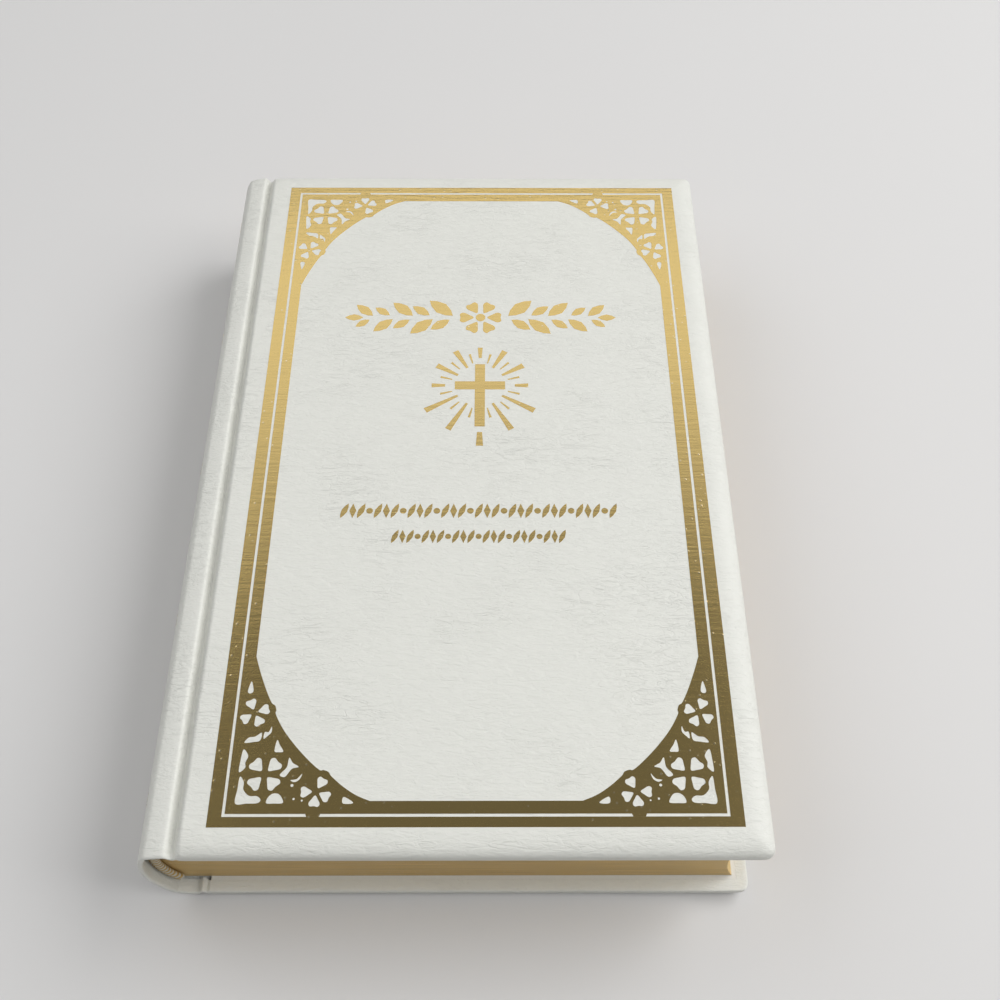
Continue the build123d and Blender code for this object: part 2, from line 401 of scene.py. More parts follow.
def striped_band():
    """Headband thread in cream and gold, wound round its core."""
    finish = Finish("striped_headband", Specular_IOR_Level=0.4)
    turn, strand = finish.along("Z").wave(1.7 * MM), finish.along("Z").wave(STRAND)
    tone = finish.shade(turn.step(-0.1, 0.1), (0.80, 0.76, 0.66, 1), (0.66, 0.45, 0.14, 1))
    return finish.use(Base_Color=tone, Roughness=0.5 + 0.1 * strand,
                      Normal=finish.bump(strand, 0.00012))


def pale_floor():
    """Plain matt floor."""
    shade = chosen("floor")
    finish = Finish("pale_floor", Specular_IOR_Level=0.2)
    cloud = finish.noise((9, 9, 9), 2.0)
    tone = finish.shade(cloud, tinted(shade, 0.985), shade)
    return finish.use(Base_Color=tone, Roughness=0.7 + 0.1 * cloud)


# ---- mesh helpers ----
def finished(mesh, name, finishes, bodies, replaced, angle=30.0):
    """Object from a finished bmesh with its rest places kept for the finishes; it rides on its body when it
    has only one, and stays where it is when it lies between two.
    """
    data = bpy.data.meshes.new(name)
    mesh.to_mesh(data)
    mesh.free()
    data.shade_smooth()
    data.set_sharp_from_angle(angle=radians(angle))
    place = data.attributes.new("rest_place", "FLOAT_VECTOR", "POINT")
    for corner, vertex in zip(place.data, data.vertices):
        corner.vector = vertex.co
    piece = bpy.data.objects.new(name, data)
    bpy.context.scene.collection.objects.link(piece)
    for finish in finishes:
        data.materials.append(finish)
    if len(bodies) == 2:
        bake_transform(piece)
    else:
        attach(piece, bodies[0])
    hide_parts(*replaced)
    return piece


def mapped_grid(columns, rows, place):
    """Grid of that many faces with place(column, row) as the point of each vertex."""
    mesh = bmesh.new()
    bmesh.ops.create_grid(mesh, x_segments=columns, y_segments=rows, size=0.5)
    for vertex in mesh.verts:
        vertex.co = place(round((vertex.co.x + 0.5) * columns), round((vertex.co.y + 0.5) * rows))
    return mesh


def open_edges(mesh):
    return [edge for edge in mesh.edges if edge.is_boundary]


def seal(mesh):
    """Point every face of a closed mesh outwards."""
    bmesh.ops.recalc_face_normals(mesh, faces=mesh.faces[:])


def face_outwards(mesh, outside=lambda centre: Vector((-1, 0, 0))):
    """Turn an open sheet over if its faces look away from the direction given at their centres."""
    mesh.normal_update()
    facing = sum(face.normal.dot(outside(face.calc_center_median())) * face.calc_area()
                 for face in mesh.faces)
    if facing < 0:
        bmesh.ops.reverse_faces(mesh, faces=mesh.faces[:])


def extruded(mesh, way):
    """Closed solid from an open sheet, carried along a way."""
    far = mesh.faces[:]
    mesh.normal_update()
    if sum(face.normal.dot(way) * face.calc_area() for face in far) > 0:
        bmesh.ops.reverse_faces(mesh, faces=far)
    moved = bmesh.ops.extrude_face_region(mesh, geom=far, use_keep_orig=True)["geom"]
    top = [part for part in moved if isinstance(part, bmesh.types.BMVert)]
    bmesh.ops.translate(mesh, verts=top, vec=way)
    seal(mesh)
    return mesh


# ---- the casing's shape ----
def level(side, depth):
    """Height that lies this deep under one cover's outer face."""
    return THICKNESS - depth if side == "front" else depth


ROLL_RINGS, WALL_RINGS, ROUND_RINGS, TURN_RINGS = 12, 2, 3, 3
RINGS = ROLL_RINGS + WALL_RINGS + ROUND_RINGS + TURN_RINGS
ARC_STEPS, FLAT_STEPS, CASING_ROWS = 44, 26, 48
PAD_STEPS, PAD_HEEL_STEPS, PAD_ROWS = 12, 6, 16
PAD_HEEL = 2.6 * MM
EDGE_START, EDGE_WIDTH = 1.9 * MM, 1.75 * MM  # where the spine's thin edge grows into the cover's


def edge_rings(start, reach, drop, depth, rounding, stop):
    """(outward, inward) of each ring: rolled edge, wall, rounded lower edge and turn-in."""
    rings = []
    for step in range(1, ROLL_RINGS + 1):
        turn = pi / 2 * step / ROLL_RINGS
        rings.append((mix(start, reach, sin(turn)), drop * (1 - max(cos(turn), 0.0))))
    for step in range(1, WALL_RINGS + 1):
        rings.append((reach, mix(drop, depth - rounding, step / WALL_RINGS)))
    for step in range(1, ROUND_RINGS + 1):
        turn = pi / 2 * step / ROUND_RINGS
        rings.append((reach - rounding * (1 - cos(turn)), depth - rounding * (1 - sin(turn))))
    for step in range(1, TURN_RINGS + 1):
        rings.append((mix(reach - rounding, stop, step / TURN_RINGS), depth))
    return rings


def round_corner(ring_x, ring_y, power):
    """Shares of a ring's reach on X and Y where it goes round a corner."""
    ring = max(ring_x, ring_y)
    across, up = ring_x / ring, ring_y / ring
    size = (across ** power + up ** power) ** (1 / power)
    return across / size, up / size


def around_spine(angle, y, radius):
    return (ARC_X - radius * cos(angle), y, MIDDLE + radius * sin(angle))


def joint_path():
    """(x, z, inward x, inward z, edge share) of each casing column, from the spine's rear edge
    round to the flat of the front cover. The share is 0 at the spine and 1 on the cover."""
    sizes = bpy.context.scene.bible_casing
    columns = []
    for step in range(ARC_STEPS + 1):
        angle = SPINE_HALF_ANGLE * (2 * step / ARC_STEPS - 1)
        columns.append((ARC_X - SPINE_RADIUS * cos(angle), MIDDLE + SPINE_RADIUS * sin(angle),
                        cos(angle), -sin(angle), 0.0))
    # (place, direction, reach in mm) of each knot, x in mm from the board's edge towards the cover
    knots = [(Vector(columns[-1][:2]), Vector((sin(SPINE_HALF_ANGLE), cos(SPINE_HALF_ANGLE))), 1.6)]
    knots += [(Vector((BOARD_LEFT + x * MM, THICKNESS - depth)), Vector(way), reach)
              for x, depth, way, reach in (
                  (-8.0, sizes.ridge_depth + 0.9 * MM, (0.955, 0.297), 1.2),
                  (-3.9, sizes.ridge_depth, (1, 0), 0.9),
                  (-2.0, sizes.groove_depth, (1, 0), 0.55),
                  (-0.9, 1.6 * MM, (0.25, 0.968), 0.65),
                  (0.8, 0.0, (1, 0), 1.0))]
    steps = (10, 8, 10, 9, 12)
    for (near, way, reach), (far, far_way, far_reach), count in zip(knots, knots[1:], steps):
        line = interpolate_bezier(near, near + way * reach * MM, far - far_way * far_reach * MM,
                                  far, count + 1)
        for before, point, after in zip(line, line[1:], line[2:] + [line[-1] + far_way * MM]):
            along = (Vector(after) - Vector(before)).normalized()
            upright = smooth((point[0] - knots[0][0].x) / (knots[1][0].x - knots[0][0].x))
            inward = Vector((along.y, -along.x)) * (1 - upright) + Vector((0, -1)) * upright
            inward.normalize()
            share = smooth((point[0] - BOARD_LEFT + EDGE_START) / EDGE_WIDTH)
            columns.append((point[0], point[1], inward.x, inward.y, share))
    return columns


def casing_sheet(side, with_spine):
    """Outer face of one cover and its joint, carried round the spine when asked."""
    sizes = bpy.context.scene.bible_casing
    columns = joint_path()[0 if with_spine else ARC_STEPS:]
    reach = sizes.roll_width
    flat_right = FORE_EDGE - reach
    last = columns[-1][0]
    for step in range(1, FLAT_STEPS + 1):
        columns.append((mix(last, flat_right, step / FLAT_STEPS), THICKNESS, 0.0, -1.0, 1.0))
    paste_stop = PASTE_HIGH.x - flat_right + 0.03 * MM
    padded = edge_rings(0.0, reach, sizes.roll_depth, COVER_STACK, 0.35 * MM, paste_stop)
    thin = edge_rings(reach - 0.8 * MM, reach, 0.6 * MM, sizes.spine_turn_in, 0.5 * MM,
                      PAGE_HALF - HALF_HEIGHT + reach + 0.4 * MM)
    half_flat = HALF_HEIGHT - reach
    final = len(columns) - 1

    def place(i, j):
        x, z, inward_x, inward_z, share = columns[min(i, final)]
        ring_x = max(0, i - final)
        ring_y = max(0, RINGS - j, j - RINGS - CASING_ROWS)
        y = half_flat * (2 * (j - RINGS) / CASING_ROWS - 1)
        ring = max(ring_x, ring_y)
        if ring:
            (thin_out, thin_in), (pad_out, pad_in) = thin[ring - 1], padded[ring - 1]
            pad_in *= (COVER_STACK - (THICKNESS - z)) / COVER_STACK if share else 1.0
            outward, inward = mix(thin_out, pad_out, share), mix(thin_in, pad_in, share)
            power = sizes.corner_power + 30 * smooth((ring - RINGS + TURN_RINGS) / TURN_RINGS)
            across, up = round_corner(ring_x, ring_y, power)
            x += outward * across + inward_x * inward
            z += inward_z * inward
            if ring_y:
                y = (-1 if j < RINGS else 1) * (half_flat + outward * up)
        return (x, y, level(side, THICKNESS - z))

    mesh = mapped_grid(final + RINGS, CASING_ROWS + 2 * RINGS, place)
    face = level(side, 0.0)
    outside = Vector((0, 0, 1 if side == "front" else -1))
    face_outwards(mesh, lambda centre: outside if abs(centre.z - face) < 1e-6 else Vector())
    return mesh


def with_wall(mesh, side):
    """Give the casing sheet its thickness, thinned where it is turned in over the board."""
    skin = bpy.context.scene.bible_casing.skin
    bmesh.ops.solidify(mesh, geom=mesh.faces[:], thickness=skin)
    inner_face = COVER_STACK - skin - 0.05 * MM
    for vertex in mesh.verts:
        if vertex.co.x > BOARD_LEFT and inner_face < level(side, vertex.co.z) < PASTE_DEPTH:
            vertex.co.z = level(side, PASTE_DEPTH)
    return mesh


class BIBLE_OT_casing(bpy.types.Operator):
    """Cover skins, joints and spine as two pieces of leatherette"""
    bl_idname = "bible.casing"
    bl_label = "Casing"

    def execute(self, context):
        finish = leatherette()
        for side, with_spine, nodes in (
                ("front", True, ("front_cover_skin", "front_joint_skin", "spine_skin")),
                ("back", False, ("back_cover_skin", "back_joint_skin"))):
            mesh = with_wall(casing_sheet(side, with_spine), side)
            finished(mesh, f"{side}_casing", [finish], ("spine", f"{side}_cover"),
                     nodes, 40.0)
        return {"FINISHED"}


class BIBLE_OT_pads(bpy.types.Operator):
    """Foam pads under the cover skins"""
    bl_idname = "bible.pads"
    bl_label = "Cover pads"

    def execute(self, context):
        sizes = context.scene.bible_casing
        finish = foam()
        clear = sizes.skin + 0.07 * MM
        reach = sizes.roll_width - clear - 0.1 * MM
        flat_right, half_flat = FORE_EDGE - sizes.roll_width, HALF_HEIGHT - sizes.roll_width
        rings = edge_rings(0.0, reach, BOARD_DEPTH - clear, BOARD_DEPTH, 0.0, reach)[:ROLL_RINGS]
        for side in ("front", "back"):
            def place(i, j):
                ring_x = max(0, i - PAD_HEEL_STEPS - PAD_STEPS)
                ring_y = max(0, ROLL_RINGS - j, j - ROLL_RINGS - PAD_ROWS)
                depth = clear
                if i < PAD_HEEL_STEPS:
                    turn = pi / 2 * i / PAD_HEEL_STEPS
                    x = BOARD_LEFT + PAD_HEEL * (1 - cos(turn))
                    depth = mix(BOARD_DEPTH - 0.02 * MM, clear, sin(turn))
                else:
                    x = mix(BOARD_LEFT + PAD_HEEL, flat_right,
                            min(1.0, (i - PAD_HEEL_STEPS) / PAD_STEPS))
                y = half_flat * (2 * (j - ROLL_RINGS) / PAD_ROWS - 1)
                ring = max(ring_x, ring_y)
                if ring:
                    outward, inward = rings[ring - 1]
                    across, up = round_corner(ring_x, ring_y, sizes.corner_power)
                    x += outward * across
                    depth += inward * (BOARD_DEPTH - depth) / (BOARD_DEPTH - clear)
                    if ring_y:
                        y = (1 if j > ROLL_RINGS else -1) * (half_flat + outward * up)
                return (x, y, level(side, depth))

            mesh = mapped_grid(PAD_HEEL_STEPS + PAD_STEPS + ROLL_RINGS, PAD_ROWS + 2 * ROLL_RINGS,
                               place)
            wall = bmesh.ops.extrude_edge_only(mesh, edges=open_edges(mesh))["geom"]
            for part in wall:
                if isinstance(part, bmesh.types.BMVert):
                    part.co.z = level(side, BOARD_DEPTH)
            bmesh.ops.contextual_create(mesh, geom=open_edges(mesh))
            bmesh.ops.dissolve_degenerate(mesh, dist=1e-7, edges=mesh.edges[:])
            seal(mesh)
            piece = finished(mesh, f"{side}_cover_pad", [finish], (f"{side}_cover",),
                             (f"{side}_pad",))
        return {"FINISHED"}


class BIBLE_OT_inner_layers(bpy.types.Operator):
    """Finishes for the boards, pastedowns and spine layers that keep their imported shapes"""
    bl_idname = "bible.inner_layers"
    bl_label = "Inner layers"

    def execute(self, context):
        board, paper, lining = grey_board(), endpaper(False), kraft()
        gauze = woven("mull_gauze", 0.9 * MM, (0.78, 0.74, 0.64, 1), (0.42, 0.38, 0.30, 1), 0.0001)
        twist = woven("sewing_thread", 0.3 * MM, (0.82, 0.79, 0.70, 1), (0.55, 0.51, 0.42, 1),
                      0.00005)
        kept = {"front_board": board, "back_board": board, "front_pastedown": paper,
                "back_pastedown": paper, "spine_lining": lining,
                "spine_mull": gauze, "sewing_thread": twist}
        for node, finish in kept.items():
            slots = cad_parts[node].data.materials
            if not slots:
                slots.append(finish)
            for index in range(len(slots)):
                slots[index] = finish
        half_length = HALF_HEIGHT - context.scene.bible_casing.skin - 0.1 * MM
        half_angle = SPINE_HALF_ANGLE - radians(0.4)
        columns, rows = 40, 8

        def place(i, j):
            return around_spine(half_angle * (2 * i / columns - 1), half_length * (2 * j / rows - 1),
                                SPINE_RADIUS - 1.3 * MM)

        mesh = mapped_grid(columns, rows, place)
        face_outwards(mesh)
        bmesh.ops.solidify(mesh, geom=mesh.faces[:], thickness=-0.78 * MM)
        seal(mesh)
        finished(mesh, "spine_stiffener", [board], ("spine",), ("spine_strip",))
        return {"FINISHED"}


FOLD_STEPS, GUTTER_STEPS, LEAF_STEPS = 6, 24, 8


def spread(first, last, count):
    """This many equal steps from the first value, without the last."""
    return [mix(first, last, step / count) for step in range(count)]


def leaf_stations(right):
    """Stations of a leaf from its joint through its bending strip to its fore edge."""
    return spread(JOINT_X, LEAF_LEFT, GUTTER_STEPS) + spread(LEAF_LEFT, right, LEAF_STEPS) + [right]


def slab(stations, bottom, top, levels, half_length, place=None):
    """Sheet of leaves: profile on X and Z, carried along Y."""
    def point(i, j):
        x, z = stations[i], mix(bottom, top, j / levels)
        if place:
            x, z = place(i, x, z)
        return (x, -half_length, z)

    mesh = mapped_grid(len(stations) - 1, levels, point)
    return extruded(mesh, Vector((0, 2 * half_length, 0)))


class BIBLE_OT_endpapers(bpy.types.Operator):
    """Hinges of the endpapers and the flyleaves"""
    bl_idname = "bible.endpapers"
    bl_label = "Endpapers"

    def execute(self, context):
        finish = endpaper(True)
        for side in ("front", "back"):
            low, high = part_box(f"{side}_endpaper_hinge")
            mesh = slab(spread(low.x, high.x, 26) + [high.x], low.z, high.z, 1, PAGE_HALF)
            finished(mesh, f"{side}_hinge_paper", [finish], ("spine", f"{side}_cover"),
                     (f"{side}_endpaper_hinge",))
            low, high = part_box(f"{side}_flyleaf")
            stations = spread(SHOULDER + 0.1 * MM, JOINT_X, 3) + leaf_stations(high.x)
            gap = context.scene.bible_pages.gap
            mesh = slab(stations, low.z + gap, high.z - gap, 1, PAGE_HALF)
            finished(mesh, f"{side}_flyleaf_sheet", [finish], ("spine", f"{side}_flyleaf_leaves"),
                     (f"{side}_flyleaf",))
        return {"FINISHED"}


class BIBLE_OT_pages(bpy.types.Operator):
    """Sewn sections of thin leaves with gilt edges"""
    bl_idname = "bible.pages"
    bl_label = "Page block"

    def execute(self, context):
        sizes = context.scene.bible_pages
        paper, gilding = page_paper(), page_gilding()
        for node in SECTIONS:
            low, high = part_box(node)
            bottom, top = low.z + sizes.gap, high.z - sizes.gap
            centre, half = (bottom + top) / 2, (top - bottom) / 2
            outer = max(abs(low.z - MIDDLE), abs(high.z - MIDDLE))
            fold = ARC_X - sqrt(BLOCK_RADIUS ** 2 - outer ** 2)
            stations = [mix(fold, JOINT_X, share ** 1.6) for share in spread(0.0, 1.0, FOLD_STEPS)]
            stations += leaf_stations(high.x)
            leaf_start = len(stations) - 1 - LEAF_STEPS

            def place(i, x, z):
                arc = ARC_X - sqrt(BLOCK_RADIUS ** 2 - (z - MIDDLE) ** 2)
                if i < FOLD_STEPS:
                    x += (arc - fold) * (1 - i / FOLD_STEPS) ** 2
                if i == 0:
                    x += sizes.fold_round * ((z - centre) / half) ** 4
                if i > leaf_start:
                    x += (arc - fold) * (i - leaf_start) / LEAF_STEPS
                return x, z

            mesh = slab(stations, bottom, top, 4, PAGE_HALF, place)
            for face in mesh.faces:
                face.material_index = int(abs(face.normal.y) > 0.5 or face.normal.x > 0.5)
            replaced = (node, "section_folds", "section_gutters") if node == SECTIONS[0] else (node,)
            finished(mesh, f"{node}_sheets", [paper, gilding], ("spine", f"{node}_leaves"),
                     replaced, 50.0)
        return {"FINISHED"}


class BIBLE_OT_headbands(bpy.types.Operator):
    """Wound headbands with their tapes on the block's back"""
    bl_idname = "bible.headbands"
    bl_label = "Headbands"

    def execute(self, context):
        finish = striped_band()
        half_angle = radians(20.5)
        bead, depth, ring = 0.8 * MM, 1.2 * MM, BLOCK_RADIUS - 1.15 * MM
        for node, end in (("head_band", 1), ("tail_band", -1)):
            mesh = bmesh.new()
            bmesh.ops.create_circle(mesh, cap_ends=False, segments=14, radius=bead)
            for vertex in mesh.verts:
                x, y = vertex.co.x, vertex.co.y
                vertex.co = (-(ring + x / bead * depth), end * (PAGE_HALF + bead + y), 0)
            bmesh.ops.transform(mesh, matrix=Matrix.Rotation(-half_angle, 4, "Y"), verts=mesh.verts[:])
            bmesh.ops.spin(mesh, geom=mesh.edges[:], axis=(0, 1, 0), cent=(0, 0, 0),
                           angle=2 * half_angle, steps=150, use_merge=False)
            for vertex in mesh.verts:
                around = hypot(vertex.co.x, vertex.co.z)
                angle = -vertex.co.z / around
                swell = 1 + 0.045 * cos(angle * around / STRAND * 2 * pi)
                core = Vector((vertex.co.x / around * ring, end * (PAGE_HALF + bead),
                               vertex.co.z / around * ring))
                vertex.co = core + (vertex.co - core) * swell
            bmesh.ops.holes_fill(mesh, edges=open_edges(mesh), sides=0)
            bmesh.ops.translate(mesh, verts=mesh.verts[:], vec=(ARC_X, 0, MIDDLE))
            tape = bmesh.ops.create_grid(mesh, x_segments=40, y_segments=6, size=0.5)["verts"]
            sheet = set(tape)
            faces = [face for face in mesh.faces if sheet.issuperset(face.verts)]
            for vertex in tape:
                y = end * mix(MULL_HIGH.y, PAGE_HALF + 1.2 * MM, vertex.co.y + 0.5)
                vertex.co = around_spine(vertex.co.x * 2 * half_angle, y, MULL_RADIUS)
            bmesh.ops.solidify(mesh, geom=faces, thickness=0.2 * MM)
            seal(mesh)
            finished(mesh, f"{node}_woven", [finish], ("spine",), (node,))
        return {"FINISHED"}


# ---- foil outlines, in millimetres on the cover's face ----
SIDE_RULE, END_RULE = 3.35, 2.5
LEAF_SLANT = 66


def turned(points, centre, angle):
    """Outline turned by an angle in degrees and moved to a centre."""
    spin_cos, spin_sin = cos(radians(angle)), sin(radians(angle))
    return [(centre[0] + x * spin_cos - y * spin_sin, centre[1] + x * spin_sin + y * spin_cos)
            for x, y in points]


def rounded(points, steps=5, closed=True):
    """Smooth outline through the points, all the way round or from the first to the last."""
    count = len(points)

    def at(index):
        index = index % count if closed else min(max(index, 0), count - 1)
        return Vector((*points[index], 0))

    outline = []
    for index in range(count if closed else count - 1):
        before, near, far, after = (at(index + shift) for shift in (-1, 0, 1, 2))
        outline += interpolate_bezier(near, near + (far - before) / 6, far - (after - near) / 6,
                                      far, steps + 1)[:-1]
    return [(point.x, point.y) for point in outline] + ([] if closed else [points[-1]])


def petal(centre, angle, length, width, start=0.8):
    """Heart-shaped petal that points at the flower's centre."""
    shape = [(0.0, 0.0), (0.34, 0.3), (0.68, 0.5), (0.93, 0.36), (0.9, 0.0),
             (0.93, -0.36), (0.68, -0.5), (0.34, -0.3)]
    points = [(start + length * along, width * across) for along, across in shape]
    return turned(rounded(points), centre, angle)


def leaf(centre, angle, length, width):
    """Plain leaf with two pointed ends."""
    shape = [(0.0, 0.0), (0.2, 0.3), (0.5, 0.5), (0.8, 0.3), (1.0, 0.0), (0.8, -0.3), (0.5, -0.5),
             (0.2, -0.3)]
    return turned([(length * along, width * across) for along, across in shape], centre, angle)


def lozenge(centre, half_x, half_y):
    return [(centre[0] - half_x, centre[1]), (centre[0], centre[1] - half_y),
            (centre[0] + half_x, centre[1]), (centre[0], centre[1] + half_y)]


def disc(centre, radius, count=20):
    return [(centre[0] + radius * cos(2 * pi * step / count),
             centre[1] + radius * sin(2 * pi * step / count)) for step in range(count)]


def rectangle(half_x, half_y):
    return [(x * half_x, y * half_y) for x, y in ((-1, -1), (1, -1), (1, 1), (-1, 1))]


def ray(centre, angle, near, far, near_width, far_width):
    """Tapered bar that points away from a centre."""
    points = [(near, -near_width / 2), (far, -far_width / 2), (far, far_width / 2),
              (near, near_width / 2)]
    return turned(points, centre, angle)


def stamped(name, outlines, thickness):
    """Closed foil plates from flat outlines, those inside another cut out of it."""
    curve = bpy.data.curves.new(name, "CURVE")
    curve.dimensions, curve.fill_mode = "2D", "BOTH"
    curve.extrude = 0.5
    for outline in outlines:
        spline = curve.splines.new("POLY")
        spline.points.add(len(outline) - 1)
        for point, (x, y) in zip(spline.points, outline):
            point.co = (x, y, 0, 1)
        spline.use_cyclic_u = True
    holder = bpy.data.objects.new(name, curve)
    bpy.context.scene.collection.objects.link(holder)
    bpy.context.view_layer.update()
    plate = bpy.data.meshes.new_from_object(
        holder.evaluated_get(bpy.context.evaluated_depsgraph_get()))
    whole = bmesh.new()
    whole.from_mesh(plate)
    bpy.data.objects.remove(holder)
    bpy.data.curves.remove(curve)
    bpy.data.meshes.remove(plate)
    bmesh.ops.remove_doubles(whole, verts=whole.verts[:], dist=1e-4)
    for vertex in whole.verts:
        vertex.co = (vertex.co.x * MM, vertex.co.y * MM, vertex.co.z * thickness)
    seal(whole)
    return whole


def frame_corner():
    """(windows, edge) of the fretwork in the tail corner by the joint, from the band's corner."""
    windows = []
    for centre, start, length, width, angles in (
            ((8.5, 9.7), 1.15, 3.5, 3.5, (46, 134, 226, 314)),
            ((4.35, 25.4), 0.95, 2.9, 2.7, (114, 18, 216, 300)),
            ((21.3, 5.4), 0.95, 2.9, 2.7, (62, 334, 182, 266))):
        windows += [petal(centre, angle, length, width, start) for angle in angles]
    for points in (
            ((2.0, 31.0), (2.7, 30.5), (3.4, 31.2), (2.8, 33.6), (2.4, 33.2)),
            ((27.9, 2.6), (28.1, 4.1), (30.4, 2.8), (29.6, 2.4)),
            ((2.2, 10.2), (2.25, 13.0), (2.7, 15.9), (4.0, 14.3), (3.5, 12.6), (3.6, 11.3)),
            ((2.2, 2.5), (2.35, 6.0), (2.6, 9.1), (3.7, 7.7), (3.8, 5.9), (5.3, 4.4), (7.2, 4.3),
             (8.2, 3.4), (7.5, 2.6), (5.0, 2.5)),
            ((9.6, 2.6), (9.9, 4.0), (11.0, 4.9), (12.4, 4.8), (13.4, 3.6), (13.5, 2.6), (11.5, 2.5)),
            ((10.3, 15.5), (10.7, 18.3), (11.5, 17.0), (12.5, 15.4), (11.4, 15.2)),
            ((12.2, 9.6), (13.7, 11.4), (14.1, 13.8), (15.1, 12.5), (16.6, 11.5), (15.0, 11.0),
             (13.7, 9.2), (12.9, 9.0)),
            ((2.7, 17.6), (3.6, 18.9), (5.2, 19.2), (6.7, 20.2), (6.5, 18.2), (5.0, 17.8)),
            ((7.3, 18.6), (7.4, 20.3), (8.4, 20.4), (9.0, 21.8), (9.1, 20.4), (8.3, 19.4)),
            ((14.9, 8.2), (16.4, 8.5), (17.6, 9.8), (17.1, 8.4), (15.9, 7.7))):
        windows.append(rounded(points))
    windows += [disc((15.4, 6.9), 0.38, 10), disc((16.1, 3.6), 0.3, 8), disc((18.1, 3.2), 0.25, 8)]
    edge = [(3.1, 40.6), (4.6, 36.3), (6.7, 31.2), (8.35, 28.0), (9.25, 27.3), (9.7, 26.0),
            (9.7, 24.9), (12.0, 20.9), (15.4, 16.7), (19.0, 13.0), (21.7, 10.75), (22.7, 10.7),
            (24.0, 10.2), (24.7, 9.2), (27.6, 6.7), (31.0, 4.5), (34.4, 3.1)]
    return windows, edge


def fretwork():
    """Outlines of the inner band: its outer edge with bridges to the border, the panel that it
    frames, and its windows."""
    half_x, half_y = (FRET_HIGH.x - FRAME_X) / MM, FRET_HIGH.y / MM
    windows, edge = frame_corner()
    edge = rounded(edge, 4, closed=False)
    outer, panel, holes = [], [], []
    bridge = (BORDER_HIGH.y - FRET_HIGH.y) / MM - END_RULE - 0.01
    for way_x, way_y in ((-1, -1), (1, -1), (1, 1), (-1, 1)):
        def put(points):
            return [(way_x * (half_x - x), way_y * (half_y - y)) for x, y in points]

        forward = way_x * way_y
        panel += put(edge)[::forward]
        outer += put([(0, 0), (19.2, 0), (19.5, -bridge), (22.5, -bridge), (22.8, 0)])[::forward]
        holes += [put(window) for window in windows]
    return [outer, panel] + holes


def title_ornament():
    """Scrolling spray of broad leaves on both sides of a rosette."""
    outlines = [petal((0, 0), angle, 4.6, 3.9, 2.1) for angle in range(0, 360, 60)]
    outlines.append(disc((0, 0), 1.5))
    for way in (-1, 1):
        spray = []
        for index in range(5):
            x = 8.6 + 6.2 * index
            size = 1.0 - 0.07 * index
            up = 1 if index % 2 == 0 else -1
            spray.append(leaf((x, up * 0.7), up * 40, 9.6 * size, 4.5 * size))
            spray.append(leaf((x + 1.0, -up * 0.9), -up * 34, 7.0 * size, 3.4 * size))
        spray.append(leaf((36.4, 0.0), 0, 5.6, 2.6))
        outlines += [[(way * x, y) for x, y in outline] for outline in spray]
    return outlines


def cross_emblem():
    """Plain cross before a sunburst of long and short rays."""
    cross = [(-1.5, -11.5), (1.5, -11.5), (1.5, 2.0), (7.5, 2.0), (7.5, 5.0), (1.5, 5.0),
             (1.5, 11.5), (-1.5, 11.5), (-1.5, 5.0), (-7.5, 5.0), (-7.5, 2.0), (-1.5, 2.0)]
    centre = (0.0, 3.5)
    outlines = [cross]
    for index in range(24):
        if index == 12:
            sizes = (17.0, 21.8, 1.5, 2.1)
        elif index % 6 == 0:
            sizes = (10.4, 14.4, 0.9, 1.5)
        elif index % 2 == 0:
            sizes = (7.6, 18.5 if 6 < index < 18 else 15.0, 0.75, 1.9)
        else:
            sizes = (8.6, 12.2, 0.35, 0.75)
        outlines.append(ray(centre, 90 + 15 * index, *sizes))
    return outlines


def leaf_row(half_length, y, count, size):
    """Row of slanting leaves with lozenges and discs between them."""
    outlines = []
    pitch = 2 * half_length / count
    for index in range(count):
        x = -half_length + pitch * (index + 0.5)
        if index % 4 == 1:
            outlines.append(lozenge((x, y), 0.42 * pitch, 0.5 * size))
        elif index % 4 == 3:
            outlines.append(disc((x, y), 0.2 * size, 14))
        else:
            start = (x - 0.55 * size * cos(radians(LEAF_SLANT)), y - 0.5 * size)
            outlines.append(leaf(start, LEAF_SLANT, 1.1 * size, 0.36 * size))
    return outlines


def box_centre(node):
    low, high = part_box(node)
    return (low.x + high.x) / 2, (low.y + high.y) / 2


class BIBLE_OT_cover_foil(bpy.types.Operator):
    """Gold foil on the front cover: border, fretwork, title spray, cross and leaf rows"""
    bl_idname = "bible.cover_foil"
    bl_label = "Cover foil"

    def execute(self, context):
        finish = gold_foil()
        thickness = FOIL_TOP - THICKNESS - 0.004 * MM
        half_x, half_y = FRAME_HALF_X / MM, FRAME_HALF_Y / MM
        border = [rectangle(half_x, half_y), rectangle(half_x - SIDE_RULE, half_y - END_RULE)]
        middle = (FRAME_X, 0.0)
        sets = (
            ("cover_border", border, middle, "cover_border_foil"),
            ("cover_fretwork", fretwork(), middle, "cover_corner_foil"),
            ("title_spray", title_ornament(), box_centre("title_foil"), "title_foil"),
            ("cross_sunburst", cross_emblem(), box_centre("emblem_foil"), "emblem_foil"),
            ("leaf_rows", leaf_row(38.5, -19.8, 33, 4.7) + leaf_row(24.0, -28.0, 23, 4.2), middle,
             "subtitle_foil"))
        for name, outlines, (x, y), node in sets:
            mesh = stamped(name, outlines, thickness)
            bmesh.ops.translate(mesh, verts=mesh.verts[:], vec=(x, y, FOIL_TOP - thickness / 2))
            finished(mesh, name, [finish], ("front_cover",), (node,))
        return {"FINISHED"}


